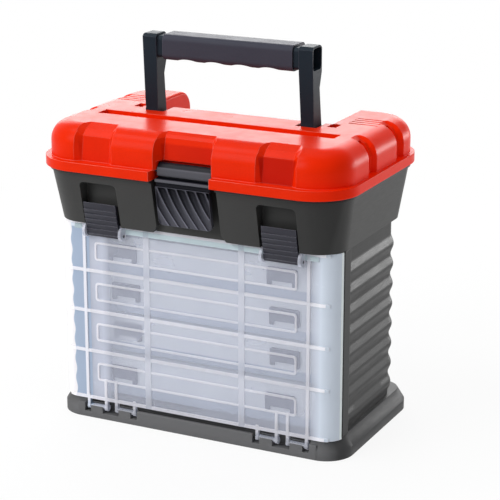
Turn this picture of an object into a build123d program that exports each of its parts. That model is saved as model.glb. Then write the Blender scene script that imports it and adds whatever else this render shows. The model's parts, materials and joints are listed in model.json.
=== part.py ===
from build123d import *
from math import cos, pi, sin
import os

# All sizes are millimetres. X runs left to right, minus Y is the front, Z is up.
# Z = 0 is the underside of the base and X = Y = 0 is the middle of the lid rim.

# Fits
RUN_FIT = 0.05
REST_GAP = 0.1
EDGE_BREAK = 0.8
# How far a cutter or a joined block reaches past the surface it meets
PAST = 1.0

# Base
BASE_W = 269.0
BASE_FRONT = -70.4
BASE_REAR = 86.0
BASE_R = 24.0
SKIRT_H = 8.2
DECK_Z = 18.0
DECK_T = 3.5
SKIRT_TAPER = 31.5
SKIRT_WALL = 3.5
SEAT_Z = 15.2
LIP_Z = 12.7
LIP_T = 2.3
LIP_HALF = 112.0
TROUGH_Z = 5.0
TROUGH_REAR = -61.0
HOLLOW_FRONT = -54.0
HOLLOW_STEP = 6.0

# Door hinge: the door's moulded bars turn in saddles of the base
HINGE_Y = -66.0
HINGE_Z = 9.3
BAR_R = 2.2
SADDLE_R = 4.2
SADDLE_MOUTH = 3.9
SADDLE_TURN = 42.0
LUG_X = (58.0, 75.6, 85.6, 102.6)
LUG_T = 2.6
LUG_R = 2.8
SADDLE_W = 11.5
HINGE_CUT = (54.5, 105.8)

# Cases and their rails
CASE_N = 4
CASE_PITCH = 35.8
CASE_Z0 = 21.0
CASE_HALF = 108.0
CASE_FRONT = -57.0
CASE_D = 98.5
CASE_INSET = (0.0, 9.0, 7.5, 2.5)
CASE_R = 5.0
CASE_BOX_H = 23.0
CASE_LID_H = 10.0
CASE_WALL = 1.8
CASE_FLOOR = 1.6
CASE_SEAM = 0.1
TAB_X = 74.0
TAB_W = 26.5
TAB_T = 2.2
TAB_Z = (10.7, 25.6)
TAB_NOTCH_W = 18.8
TAB_NOTCH_H = 3.6
TAB_R = 1.2
ROW_DEPTH = 31.0
DIVIDER_X = (-72.0, -36.0, 0.0, 36.0, 72.0)
DIVIDER_T = 1.2
DIVIDER_H = 19.0
CASE_PIN_R = 1.2
CASE_KNUCKLE_R = 2.4
CASE_KNUCKLE_X = (-70.0, 70.0)
CASE_KNUCKLE_W = 18.0
CASE_KNUCKLE_GAP = 0.4
DIVIDER_GAP = 0.2
RAIL_IN = 100.0
RAIL_OUT = 124.6
RAIL_T = 1.6

# Corrugated side and back panels
WAVE_CREST = 128.0
WAVE_DEPTH = 2.4
WAVE_PITCH = 17.7
WAVE_Z0 = 20.65
WAVE_N = 8
WAVE_STEPS = 8
PANEL_T = 2.2
PANEL_CORNER_X = 114.0
PANEL_CORNER_Y = 47.0
STRIP_FRONT = -55.6
STRIP_REAR = -44.0
LEFT_FRONT = -46.5
STRIP_OUT = 129.0
STRIP_T = 3.6
JAMB_BACK = 1.0
JAMB_IN = 113.5
JAMB_T = 2.6

# Tub
TUB_Z = 175.0
TUB_TOP = 222.0
TUB_BOTTOM_SIZE = (258.0, 149.0, 24.0)
TUB_TOP_SIZE = (272.0, 169.4, 30.0)
TUB_WALL = 2.8
TUB_FLOOR = 3.0
FLANGE_SIZE = (274.0, 173.0, 32.0)
FLANGE_H = 3.0
NICHE_BACK = -69.5
NICHE_WALL = 2.0
NICHE_TOP = 212.4
NICHE_R = 4.0
CLIP_NICHE = (63.5, 97.8)
LATCH_NICHE = 29.4
NICHE_FLARE = (4.0, 6.0)
CLIP_CATCH_Z = (183.0, 187.0)
CLIP_CATCH_FRONT = -73.4
CLIP_CATCH_HALF = 12.0
LATCH_CATCH_Z = (188.6, 191.6)
LATCH_CATCH_FRONT = -76.4
LATCH_CATCH_HALF = 15.0

# Lid hinge at the rear
LID_PIN_Z = 226.5
LID_PIN_R = 1.5
LID_KNUCKLE_R = 3.2
LID_HINGE_X = 72.0
LID_KNUCKLE_W = 11.2
TUB_LUG_W = 5.0
TUB_LUG_GAP = 0.4
TUB_LUG_DROP = 23.5
HINGE_NOTCH_GAP = 0.6

# Lid
RIM_SIZE = (280.0, 185.0, 38.0)
RIM_Z = 222.3
RIM_TOP = 230.5
CROWN_W = 272.0
CROWN_FRONT = -86.2
CROWN_REAR = 88.5
CROWN_R = 33.0
LID_TOP = 259.3
CROWN_FILLET = 17.0
GROOVE_HALF = 108.0
GROOVE_Y = (-33.0, -18.5)
GROOVE_Z = 253.8
WELL_HALF = 84.5
WELL_FRONT = 14.0
WELL_Z = 234.5
POD_CORNER_R = 2.5
SLOT_X = (61.0, 80.0)
SLOT_FRONT = -5.1
SLOT_Z = 240.6
POCKET_X = (86.0, 94.0)
POCKET_Y = (2.5, 15.0)
POCKET_DEPTH = 6.0
LATCH_GAP = 27.3
LATCH_SIDE_GAP = 0.8
LATCH_BLOCK_T = 4.0
LATCH_WALL_Y = -71.4
LATCH_ROOF_Z = 237.5
POD_GROOVE_N = 4
POD_GROOVE_W = 2.2
POD_GROOVE_L = 26.0
POD_GROOVE_STEP = 6.5
POD_GROOVE_X = 109.0
POD_GROOVE_Y = 33.0
POD_GROOVE_DEPTH = 0.8
GATE_DOT_Y = 3.0
GATE_DOT_R = 0.9
GATE_DOT_DEPTH = 0.6
CAVITY_SIDE = 127.5
CAVITY_FRONT = -76.0
CAVITY_REAR = 80.0
CAVITY_R = 24.0
CAVITY_SHOULDER = 246.0
CAVITY_TOP = 255.8
CAVITY_BACK = -37.0
POD_CAVITY_IN = 103.0
PLATEAU_CAVITY_HALF = 54.0
PLATEAU_SKIN = 2.8

# Handle
PIVOT_Y = 6.5
PIVOT_Z = 247.0
FOOT_R = 6.0
HANDLE_PIN_R = 2.2
HANDLE_PIN_X = (57.5, 83.0)
POST_X = (65.2, 77.8)
HANDLE_TOP = 325.0
POST_SHAFT_FRONT = -5.0
POST_SHAFT_Z = 262.0
POST_HEAD_FRONT = -8.5
POST_HEAD_REAR = 10.0
POST_HEAD_Z = 303.0
POST_CHAMFER = 2.5
POST_WAIST = (6.0, 290.0)
POST_FOOT_REAR = (10.4, 258.0)
POST_DRAFT = 1.6
GRIP_HALF = 59.5
GRIP_Y = (-8.0, 17.5)
GRIP_Z = 303.6
GRIP_ROUND = 5.0
FINGER_X = (-37.5, -12.5, 12.5, 37.5)
FINGER_R = 26.0
FINGER_DEPTH = 1.9
COLLAR_INSET = 1.6
PALM_POCKET_RIM = 1.3
PALM_POCKET_FOOT = 305.5
PALM_POCKET_R = 3.0
PALM_POCKET_DEPTH = 8.0

# Front latch
LATCH_PIN_Y = -79.0
LATCH_PIN_Z = 229.8
LATCH_PIN_R = 1.8
LATCH_PIN_GRIP = 3.0
LATCH_BARREL_R = 3.8
LATCH_HALF = 24.2
LATCH_HEAD_Z = 236.0
LATCH_HEAD_BACK = 2.4
LATCH_PLATE = ((-86.0, 219.4), (-81.0, 184.6))
LATCH_LEDGE = ((-81.8, 225.0), (-87.0, 223.6), (-87.0, 221.4))
LATCH_NECK_Z = 226.4
LATCH_INNER = ((-83.2, 218.5), (-80.0, 223.0))
LATCH_T = 2.8
LATCH_HOOK = (1.0, 3.4)
LATCH_CORNER = 3.0
LATCH_RIB_N = 8
LATCH_RIB_STEP = 8.7
LATCH_RIB_W = 5.0
LATCH_RIB_H = 1.2
LATCH_RIB_SWEEP = (6.0, 17.0)
LATCH_RIB_BORDER = 1.4

# Door clips
CLIP_X = 81.5
CLIP_W = 30.4
CLIP_PIN_Y = -70.8
CLIP_PIN_Z = 166.6
CLIP_FOOT_Z = 164.3
CLIP_PIN_R = 1.4
CLIP_BARREL_R = 2.9
CLIP_TOP = (-79.0, 194.5)
CLIP_LEAN = 0.207
CLIP_T = 2.6
CLIP_HOOK = (1.9, 2.2)
CLIP_HOOK_Z = (188.0, 188.4)
CLIP_RIDGE_TOP = 188.5
CLIP_RIDGE_STEP = 4.4
CLIP_RIDGE_N = 6
CLIP_RIDGE_OUT = 0.9
EAR_R = 6.0
EAR_Z = 168.6
EAR_T = 2.4
EAR_GAP = 0.7

# Door
DOOR_Z = (16.3, 174.6)
DOOR_FRONT = -67.6
DOOR_HALF = 128.8
DOOR_R = 15.0
DOOR_T = 2.2
DOOR_END = -56.0
DOOR_LEFT_GAP = 0.5
DOOR_LEFT_TOP = 173.0
DOOR_FLANGE_REAR = -60.5
DOOR_FLANGE_T = 2.2
RIB_OUT = 0.9
SIDE_RIB_X = 103.3
SIDE_RIB_W = 2.8
MID_RIB_X = 43.8
MID_RIB_W = 5.4
BAND_T = 2.8
BAND_Z0 = 24.4
BAND_SHORT = 6.0
FRAME_HALF = 93.3
FRAME_H = 16.2
FRAME_W = 1.7
FRAME_R = 2.6
FRAME_MID = 17.6
HINGE_RIB_TOP = 36.0
HINGE_ROOT_TOP = 20.3

os.makedirs("parts", exist_ok=True)

LID_PIN_Y = RIM_SIZE[1] / 2 - LID_KNUCKLE_R
BASE_D = BASE_REAR - BASE_FRONT
BASE_MID = (BASE_REAR + BASE_FRONT) / 2
SADDLE_X = ((LUG_X[0] + LUG_X[1]) / 2, (LUG_X[2] + LUG_X[3]) / 2)
SIDES = (-1, 1)


def wave(z):
    """How far the corrugated skin stands out of its trough at height z."""
    turns = (z - WAVE_Z0) / WAVE_PITCH
    if turns < 0 or turns > WAVE_N:
        return 0.0
    return WAVE_DEPTH * (1 - cos(2 * pi * turns)) / 2


def skin_points(trough, offset):
    """The corrugated line, from the deck up to the tub, moved inward by offset."""
    count = WAVE_N * WAVE_STEPS
    heights = [WAVE_Z0 + WAVE_PITCH * WAVE_N * i / count for i in range(count + 1)]
    return [(trough + wave(z) - offset, z) for z in heights]


def skin_profile(trough):
    """One closed corrugated section with straight ends, for a sketch."""
    outer = skin_points(trough, 0.0)
    inner = skin_points(trough, PANEL_T)
    with BuildLine() as line:
        Line((trough, DECK_Z), outer[0])
        Spline(*outer)
        Line(outer[-1], (trough, TUB_Z))
        Line((trough, TUB_Z), (trough - PANEL_T, TUB_Z))
        Line((trough - PANEL_T, TUB_Z), inner[-1])
        Spline(*reversed(inner))
        Line(inner[0], (trough - PANEL_T, DECK_Z))
        Line((trough - PANEL_T, DECK_Z), (trough, DECK_Z))
    return line.line


# Base tray
with BuildPart() as base:
    with BuildSketch():
        with Locations((0, BASE_MID)):
            RectangleRounded(BASE_W, BASE_D, BASE_R)
    extrude(amount=SKIRT_H)
    with BuildSketch(Plane.XY.offset(SKIRT_H)):
        with Locations((0, BASE_MID)):
            RectangleRounded(BASE_W, BASE_D, BASE_R)
    extrude(amount=DECK_Z - SKIRT_H, taper=SKIRT_TAPER)
    # Seat under the door
    with BuildSketch(Plane.XY.offset(SEAT_Z)):
        with Locations((0, BASE_FRONT)):
            Rectangle(BASE_W, 2 * (STRIP_FRONT - BASE_FRONT))
    extrude(amount=DECK_Z, mode=Mode.SUBTRACT)
    # On the left the seat goes back to the corrugated panel
    with BuildSketch(Plane.XY.offset(SEAT_Z)):
        with Locations((-BASE_W / 2, STRIP_FRONT - PAST)):
            Rectangle(
                BASE_W / 2 - DOOR_HALF + DOOR_T + DOOR_LEFT_GAP,
                LEFT_FRONT - STRIP_FRONT + PAST,
                align=(Align.MIN, Align.MIN),
            )
    extrude(amount=DECK_Z, mode=Mode.SUBTRACT)
    # Upright lip along the front
    with BuildSketch():
        with Locations((0, BASE_FRONT)):
            Rectangle(2 * LIP_HALF, 4 * LIP_T, align=(Align.CENTER, Align.MIN))
    extrude(amount=LIP_Z)
    with BuildSketch(Plane.XY.offset(TROUGH_Z)):
        with Locations((0, BASE_FRONT + LIP_T)):
            Rectangle(
                2 * HINGE_CUT[1], TROUGH_REAR - BASE_FRONT - LIP_T, align=(Align.CENTER, Align.MIN)
            )
    extrude(amount=DECK_Z, mode=Mode.SUBTRACT)
    lip_edges = base.edges().filter_by(Axis.X).filter_by_position(Axis.Y, BASE_FRONT - 0.1, BASE_FRONT + 0.1)
    chamfer(lip_edges.filter_by_position(Axis.Z, LIP_Z - 0.1, LIP_Z + 0.1), EDGE_BREAK)
    # Cut-outs of the two hinge groups
    for side in SIDES:
        with BuildSketch(Plane.XY.offset(TROUGH_Z)):
            with Locations((side * sum(HINGE_CUT) / 2, BASE_FRONT - PAST)):
                Rectangle(
                    HINGE_CUT[1] - HINGE_CUT[0],
                    TROUGH_REAR - BASE_FRONT + PAST,
                    align=(Align.CENTER, Align.MIN),
                )
        extrude(amount=DECK_Z, mode=Mode.SUBTRACT)
    # Saddles that hold the door's bars, open towards the front and up
    for side in SIDES:
        for x in SADDLE_X:
            with BuildSketch(Plane.YZ.offset(side * x)):
                with Locations((HINGE_Y, HINGE_Z)):
                    Circle(SADDLE_R)
                with Locations((HINGE_Y, HINGE_Z)):
                    Rectangle(2 * SADDLE_R, HINGE_Z - TROUGH_Z + PAST, align=(Align.CENTER, Align.MAX))
            extrude(amount=SADDLE_W / 2, both=True)
            with BuildSketch(Plane.YZ.offset(side * x)):
                with Locations((HINGE_Y, HINGE_Z)):
                    Circle(BAR_R + RUN_FIT)
            extrude(amount=SADDLE_W, both=True, mode=Mode.SUBTRACT)
            with BuildSketch(Plane.YZ.offset(side * x)):
                with Locations(Location((HINGE_Y, HINGE_Z), SADDLE_TURN)):
                    Rectangle(SADDLE_MOUTH, 2 * SADDLE_R, align=(Align.CENTER, Align.MIN))
            extrude(amount=SADDLE_W, both=True, mode=Mode.SUBTRACT)
    # Hollow underside, leaning in above its step
    hollow_rear = BASE_REAR - SKIRT_WALL
    for level, rise, lean in ((0, HOLLOW_STEP, 0), (HOLLOW_STEP, DECK_Z - DECK_T - HOLLOW_STEP, SKIRT_TAPER)):
        with BuildSketch(Plane.XY.offset(level)):
            with Locations((0, (HOLLOW_FRONT + hollow_rear) / 2)):
                RectangleRounded(BASE_W - 2 * SKIRT_WALL, hollow_rear - HOLLOW_FRONT, BASE_R - SKIRT_WALL)
        extrude(amount=rise, taper=lean, mode=Mode.SUBTRACT)
base.part.label = "base"
export_step(base.part, "parts/base.step")


def side_panel(jamb_front, jamb_out, wave_front):
    """A right-hand side panel: corrugated skin, rounded rear corner, jamb and case rails."""
    with BuildPart() as panel:
        with BuildSketch(Plane.XZ.offset(-PANEL_CORNER_Y)):
            make_face(skin_profile(WAVE_CREST - WAVE_DEPTH))
        extrude(amount=PANEL_CORNER_Y - wave_front)
        with BuildSketch(Plane.XZ.offset(-PANEL_CORNER_Y)):
            make_face(skin_profile(WAVE_CREST - WAVE_DEPTH))
        revolve(axis=Axis((PANEL_CORNER_X, PANEL_CORNER_Y, 0), (0, 0, 1)), revolution_arc=90)
        with BuildSketch(Plane.XY.offset(DECK_Z)):
            with Locations((jamb_out, jamb_front)):
                Rectangle(jamb_out - JAMB_IN, JAMB_T, align=(Align.MAX, Align.MIN))
            if wave_front > jamb_front:
                with Locations((STRIP_OUT, jamb_front)):
                    Rectangle(STRIP_T, wave_front - jamb_front, align=(Align.MAX, Align.MIN))
        extrude(amount=TUB_Z - DECK_Z)
        rail_front = jamb_front + JAMB_T
        for k in range(CASE_N):
            rail_top = CASE_Z0 + CASE_PITCH * k - REST_GAP
            with BuildSketch(Plane.XY.offset(rail_top - RAIL_T)):
                with Locations((RAIL_OUT, rail_front)):
                    Rectangle(RAIL_OUT - RAIL_IN, PANEL_CORNER_Y - rail_front, align=(Align.MAX, Align.MIN))
            extrude(amount=RAIL_T)
    return panel.part


# The right side panel has a flat strip in front; on the left the corrugation starts at the jamb
side_right = side_panel(STRIP_FRONT, STRIP_OUT - JAMB_BACK, STRIP_REAR)
side_right.label = "side_panel_right"
export_step(side_right, "parts/side_panel_right.step")

side_left = mirror(side_panel(LEFT_FRONT, WAVE_CREST - WAVE_DEPTH - REST_GAP, LEFT_FRONT), about=Plane.YZ)
side_left.label = "side_panel_left"
export_step(side_left, "parts/side_panel_left.step")

# Back panel between the two rounded corners
BACK_TROUGH = PANEL_CORNER_Y + WAVE_CREST - WAVE_DEPTH - PANEL_CORNER_X
with BuildPart() as back_panel:
    with BuildSketch(Plane.YZ):
        make_face(skin_profile(BACK_TROUGH))
    extrude(amount=PANEL_CORNER_X, both=True)
back_panel.part.label = "back_panel"
export_step(back_panel.part, "parts/back_panel.step")

# Tub with its three front niches and the rear hinge lugs
with BuildPart() as tub:
    with BuildSketch(Plane.XY.offset(TUB_Z)):
        RectangleRounded(*TUB_BOTTOM_SIZE)
    with BuildSketch(Plane.XY.offset(TUB_TOP)):
        RectangleRounded(*TUB_TOP_SIZE)
    loft()
    with BuildSketch(Plane.XY.offset(TUB_TOP - FLANGE_H)):
        RectangleRounded(*FLANGE_SIZE)
    extrude(amount=FLANGE_H)
    for level, (wide, deep, corner) in ((TUB_Z + TUB_FLOOR, TUB_BOTTOM_SIZE), (TUB_TOP, TUB_TOP_SIZE)):
        with BuildSketch(Plane.XY.offset(level)):
            RectangleRounded(wide - 2 * TUB_WALL, deep - 2 * TUB_WALL, corner - TUB_WALL)
    loft(mode=Mode.SUBTRACT)
    # Walls behind the niches
    niche_foot = -TUB_BOTTOM_SIZE[1] / 2
    niche_head = -TUB_TOP_SIZE[1] / 2
    clip_niche_mid = sum(CLIP_NICHE) / 2
    clip_niche_half = (CLIP_NICHE[1] - CLIP_NICHE[0]) / 2
    for centre, half, top in (
        (-clip_niche_mid, clip_niche_half + NICHE_WALL, NICHE_TOP + NICHE_WALL),
        (clip_niche_mid, clip_niche_half + NICHE_WALL, NICHE_TOP + NICHE_WALL),
        (0, LATCH_NICHE + NICHE_FLARE[0] + NICHE_WALL, TUB_TOP),
    ):
        with BuildSketch(Plane.YZ.offset(centre)):
            Polygon(
                (niche_foot + PAST, TUB_Z),
                (niche_head + TUB_WALL, top),
                (NICHE_BACK + NICHE_WALL, top),
                (NICHE_BACK + NICHE_WALL, TUB_Z),
                align=None,
            )
        extrude(amount=half, both=True)
    # The niches, round at their upper corners; the latch's one flares at its foot
    with BuildSketch(Plane.XZ.offset(-NICHE_BACK)):
        with Locations((-clip_niche_mid, NICHE_TOP), (clip_niche_mid, NICHE_TOP)):
            RectangleRounded(
                2 * clip_niche_half, NICHE_TOP - TUB_Z + 2 * NICHE_R, NICHE_R, align=(Align.CENTER, Align.MAX)
            )
        with Locations((0, TUB_Z - PAST)):
            Rectangle(2 * LATCH_NICHE, TUB_TOP - TUB_Z + 2 * PAST, align=(Align.CENTER, Align.MIN))
        Polygon(
            (-LATCH_NICHE - NICHE_FLARE[0], TUB_Z),
            (-LATCH_NICHE, TUB_Z + NICHE_FLARE[1]),
            (LATCH_NICHE, TUB_Z + NICHE_FLARE[1]),
            (LATCH_NICHE + NICHE_FLARE[0], TUB_Z),
            align=None,
        )
    extrude(amount=TUB_TOP_SIZE[1] / 2, mode=Mode.SUBTRACT)
    # Catches inside the niches
    for centre, half, front, (low, high) in (
        (-CLIP_X, CLIP_CATCH_HALF, CLIP_CATCH_FRONT, CLIP_CATCH_Z),
        (CLIP_X, CLIP_CATCH_HALF, CLIP_CATCH_FRONT, CLIP_CATCH_Z),
        (0, LATCH_CATCH_HALF, LATCH_CATCH_FRONT, LATCH_CATCH_Z),
    ):
        with BuildSketch(Plane.YZ.offset(centre)):
            with Locations((NICHE_BACK, low)):
                Rectangle(NICHE_BACK - front, high - low, align=(Align.MAX, Align.MIN))
        extrude(amount=half, both=True)
    # Rear hinge lugs
    tub_rear = TUB_TOP_SIZE[1] / 2
    for side in SIDES:
        for edge in SIDES:
            lug_x = side * LID_HINGE_X + edge * (LID_KNUCKLE_W / 2 + TUB_LUG_GAP + TUB_LUG_W / 2)
            with BuildSketch(Plane.YZ.offset(lug_x)):
                Polygon(
                    (tub_rear - TUB_WALL - 2, LID_PIN_Z - TUB_LUG_DROP),
                    (tub_rear - TUB_WALL / 2, TUB_TOP),
                    (LID_PIN_Y - LID_KNUCKLE_R, TUB_TOP),
                    (LID_PIN_Y - LID_KNUCKLE_R, LID_PIN_Z),
                    (LID_PIN_Y + LID_KNUCKLE_R, LID_PIN_Z),
                    (LID_PIN_Y + LID_KNUCKLE_R, TUB_TOP - FLANGE_H),
                    (tub_rear - TUB_WALL, LID_PIN_Z - TUB_LUG_DROP),
                    align=None,
                )
                with Locations((LID_PIN_Y, LID_PIN_Z)):
                    Circle(LID_KNUCKLE_R)
                    Circle(LID_PIN_R, mode=Mode.SUBTRACT)
            extrude(amount=TUB_LUG_W / 2, both=True)
tub.part.label = "tub"
export_step(tub.part, "parts/tub.step")

with BuildPart() as lid_hinge_pins:
    for side in SIDES:
        with BuildSketch(Plane.YZ.offset(side * LID_HINGE_X)):
            with Locations((LID_PIN_Y, LID_PIN_Z)):
                Circle(LID_PIN_R)
        extrude(amount=LID_KNUCKLE_W / 2 + TUB_LUG_GAP + TUB_LUG_W, both=True)
lid_hinge_pins.part.label = "lid_hinge_pins"
export_step(lid_hinge_pins.part, "parts/lid_hinge_pins.step")

# Lid
SIDE_RECESS = ((64.3, 0), (69.0, 1), (94.5, 1), (100.3, 0))
SIDE_RECESS_DEEP = ((3.7, 0), (5.4, 10), (7.0, 20.3), (11.7, 25), (22.5, 29.4))
LATCH_RECESS = ((-26.5, 0), (-21.5, 1), (21.5, 1), (26.5, 0))
LATCH_RECESS_DEEP = ((9.8, 0), (10.2, 7.5), (13.3, 24.9), (15.4, 27), (21.2, 29.4))
FLANK_GROOVES = ((-28.0, -11.0), (30.5, 46.5))
FLANK_BEVEL = 3.0
FLANK_DEEP = ((3.6, 0), (3.6, 13), (5.4, 18.6), (8.8, 23.6), (18.4, 29.4))
FLANK_SLOT = ((5.8, 2), (5.8, 13), (7.6, 17.6), (10.4, 21.2), (15.5, 25.0))
FLANK_SLOT_W = 4.8


def crown_cut(depths, turned):
    """A cutter section outside the crown: depths are (inset, height over the rim)."""
    margin = 0.3
    shoulder = LID_TOP - RIM_TOP - CROWN_FILLET
    reach = (CROWN_FILLET + margin) / cos(pi / 12)
    turns = (pi / 12, pi / 4, 5 * pi / 12)
    knees = [(CROWN_FILLET - reach * cos(turn), shoulder + reach * sin(turn)) for turn in turns]
    inner = depths or ((-margin, 0), *knees, (CROWN_FILLET + 1, LID_TOP - RIM_TOP + 2))
    foot = inner[0][1]
    outer = ((-12, LID_TOP - RIM_TOP + 4), (-12, foot))
    edge = CROWN_W / 2 if turned else -CROWN_FRONT
    sign = turned or -1
    return [(sign * (edge - inset), RIM_TOP + rise) for inset, rise in (*inner, *outer)]


with BuildPart() as lid:
    with BuildSketch(Plane.XY.offset(RIM_TOP)):
        with Locations((0, (CROWN_FRONT + CROWN_REAR) / 2)):
            RectangleRounded(CROWN_W, CROWN_REAR - CROWN_FRONT, CROWN_R)
    extrude(amount=LID_TOP - RIM_TOP)
    fillet(lid.faces().sort_by(Axis.Z)[-1].edges(), CROWN_FILLET)
    with BuildSketch(Plane.XY.offset(RIM_Z)):
        RectangleRounded(*RIM_SIZE)
    extrude(amount=RIM_TOP - RIM_Z)
    fillet(lid.faces().sort_by(Axis.Z)[0].edges(), EDGE_BREAK)
    # Well behind the plateau, for the folded handle
    with BuildSketch(Plane.XY.offset(WELL_Z)):
        with Locations((0, WELL_FRONT)):
            Rectangle(2 * WELL_HALF, RIM_SIZE[1], align=(Align.CENTER, Align.MIN))
    extrude(amount=LID_TOP, mode=Mode.SUBTRACT)
    pod_edges = lid.edges().filter_by(Axis.Z).filter_by_position(Axis.X, -WELL_HALF - 0.1, WELL_HALF + 0.1)
    fillet(pod_edges.filter_by_position(Axis.Y, CROWN_REAR - 1, CROWN_REAR + 1), POD_CORNER_R)
    # Hollow underside: along the front and inside both pods
    for level, rise, lean in (
        (RIM_Z, CAVITY_SHOULDER - RIM_Z, 0),
        (CAVITY_SHOULDER, CAVITY_TOP - CAVITY_SHOULDER, 45),
    ):
        with BuildSketch(Plane.XY.offset(level)):
            with Locations((0, (CAVITY_FRONT + CAVITY_REAR) / 2)):
                RectangleRounded(2 * CAVITY_SIDE, CAVITY_REAR - CAVITY_FRONT, CAVITY_R)
            with Locations((0, CAVITY_BACK)):
                Rectangle(2 * POD_CAVITY_IN, RIM_SIZE[1], align=(Align.CENTER, Align.MIN), mode=Mode.SUBTRACT)
        extrude(amount=rise, taper=lean, mode=Mode.SUBTRACT)
    # Hollow underside: below the plateau, the slots and the well
    for half, near, far, top in (
        (PLATEAU_CAVITY_HALF, CAVITY_BACK, WELL_FRONT - PLATEAU_SKIN, GROOVE_Z - PLATEAU_SKIN),
        (POD_CAVITY_IN, CAVITY_BACK, WELL_FRONT - PLATEAU_SKIN, SLOT_Z - PLATEAU_SKIN),
        (POD_CAVITY_IN, CAVITY_BACK, CAVITY_REAR, WELL_Z - PLATEAU_SKIN),
    ):
        with BuildSketch(Plane.XY.offset(RIM_Z)):
            with Locations((0, near)):
                Rectangle(2 * half, far - near, align=(Align.CENTER, Align.MIN))
        extrude(amount=top - RIM_Z, mode=Mode.SUBTRACT)
    # Solid block round the front latch, then its pocket
    block_rear = LATCH_WALL_Y + PLATEAU_SKIN
    block_depth = block_rear - CAVITY_FRONT + PAST
    with BuildSketch(Plane.XY.offset(RIM_Z)):
        with Locations((0, block_rear)):
            Rectangle(2 * (LATCH_GAP + LATCH_BLOCK_T), block_depth, align=(Align.CENTER, Align.MAX))
    extrude(amount=CAVITY_SHOULDER + LATCH_BLOCK_T - RIM_Z)
    for half, low, high in (
        (LATCH_GAP, RIM_Z - PAST, RIM_TOP),
        (LATCH_HALF + LATCH_SIDE_GAP, RIM_TOP - PAST, LATCH_ROOF_Z),
    ):
        with BuildSketch(Plane.XY.offset(low)):
            with Locations((0, LATCH_WALL_Y)):
                Rectangle(2 * half, RIM_SIZE[1] / 2, align=(Align.CENTER, Align.MAX))
        extrude(amount=high - low, mode=Mode.SUBTRACT)
    # Scooped recesses of the front wall
    left_recess = [(-x, deep) for x, deep in SIDE_RECESS]
    for stations, depths in (
        (LATCH_RECESS, LATCH_RECESS_DEEP),
        (SIDE_RECESS, SIDE_RECESS_DEEP),
        (left_recess, SIDE_RECESS_DEEP),
    ):
        for x, deep in stations:
            with BuildSketch(Plane.YZ.offset(x)):
                Polygon(*crown_cut(deep and depths, 0), align=None)
        loft(ruled=True, mode=Mode.SUBTRACT)
    # Upright grooves of the two flanks
    for side in SIDES:
        for near, far in FLANK_GROOVES:
            for y, deep in ((near, 0), (near + FLANK_BEVEL, 1), (far - FLANK_BEVEL, 1), (far, 0)):
                with BuildSketch(Plane.XZ.offset(-y)):
                    Polygon(*crown_cut(deep and FLANK_DEEP, side), align=None)
            loft(ruled=True, mode=Mode.SUBTRACT)
            with BuildSketch(Plane.XZ.offset(-(near + far) / 2)):
                Polygon(*crown_cut(FLANK_SLOT, side), align=None)
            extrude(amount=FLANK_SLOT_W / 2, both=True, mode=Mode.SUBTRACT)
    # Long groove across the top
    with BuildSketch(Plane.XY.offset(GROOVE_Z)):
        with Locations((0, GROOVE_Y[0])):
            Rectangle(2 * GROOVE_HALF, GROOVE_Y[1] - GROOVE_Y[0], align=(Align.CENTER, Align.MIN))
    extrude(amount=LID_TOP, mode=Mode.SUBTRACT)
    # Slots of the handle posts and the small pockets beside them
    slot_depth = WELL_FRONT - SLOT_FRONT + PAST
    for side in SIDES:
        with BuildSketch(Plane.XY.offset(SLOT_Z)):
            with Locations((side * sum(SLOT_X) / 2, SLOT_FRONT)):
                Rectangle(SLOT_X[1] - SLOT_X[0], slot_depth, align=(Align.CENTER, Align.MIN))
        extrude(amount=LID_TOP, mode=Mode.SUBTRACT)
        with BuildSketch(Plane.XY.offset(LID_TOP - POCKET_DEPTH)):
            with Locations((side * sum(POCKET_X) / 2, sum(POCKET_Y) / 2)):
                Rectangle(POCKET_X[1] - POCKET_X[0], POCKET_Y[1] - POCKET_Y[0])
        extrude(amount=LID_TOP, mode=Mode.SUBTRACT)
        # Plain parallel grooves on the pod
        with BuildSketch(Plane.XY.offset(LID_TOP - POD_GROOVE_DEPTH)):
            with Locations((side * POD_GROOVE_X, POD_GROOVE_Y)):
                with GridLocations(0, POD_GROOVE_STEP, 1, POD_GROOVE_N):
                    SlotOverall(POD_GROOVE_L, POD_GROOVE_W)
        extrude(amount=POD_GROOVE_DEPTH + PAST, mode=Mode.SUBTRACT)
    with BuildSketch(Plane.XY.offset(LID_TOP - GATE_DOT_DEPTH)):
        with Locations((0, GATE_DOT_Y)):
            Circle(GATE_DOT_R)
    extrude(amount=PAST, mode=Mode.SUBTRACT)
    # Bores of the handle pins and of the latch pin
    for side in SIDES:
        with BuildSketch(Plane.YZ.offset(side * sum(HANDLE_PIN_X) / 2)):
            with Locations((PIVOT_Y, PIVOT_Z)):
                Circle(HANDLE_PIN_R)
        extrude(amount=(HANDLE_PIN_X[1] - HANDLE_PIN_X[0]) / 2, both=True, mode=Mode.SUBTRACT)
    with BuildSketch(Plane.YZ):
        with Locations((LATCH_PIN_Y, LATCH_PIN_Z)):
            Circle(LATCH_PIN_R)
    extrude(amount=LATCH_GAP + LATCH_PIN_GRIP, both=True, mode=Mode.SUBTRACT)
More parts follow.
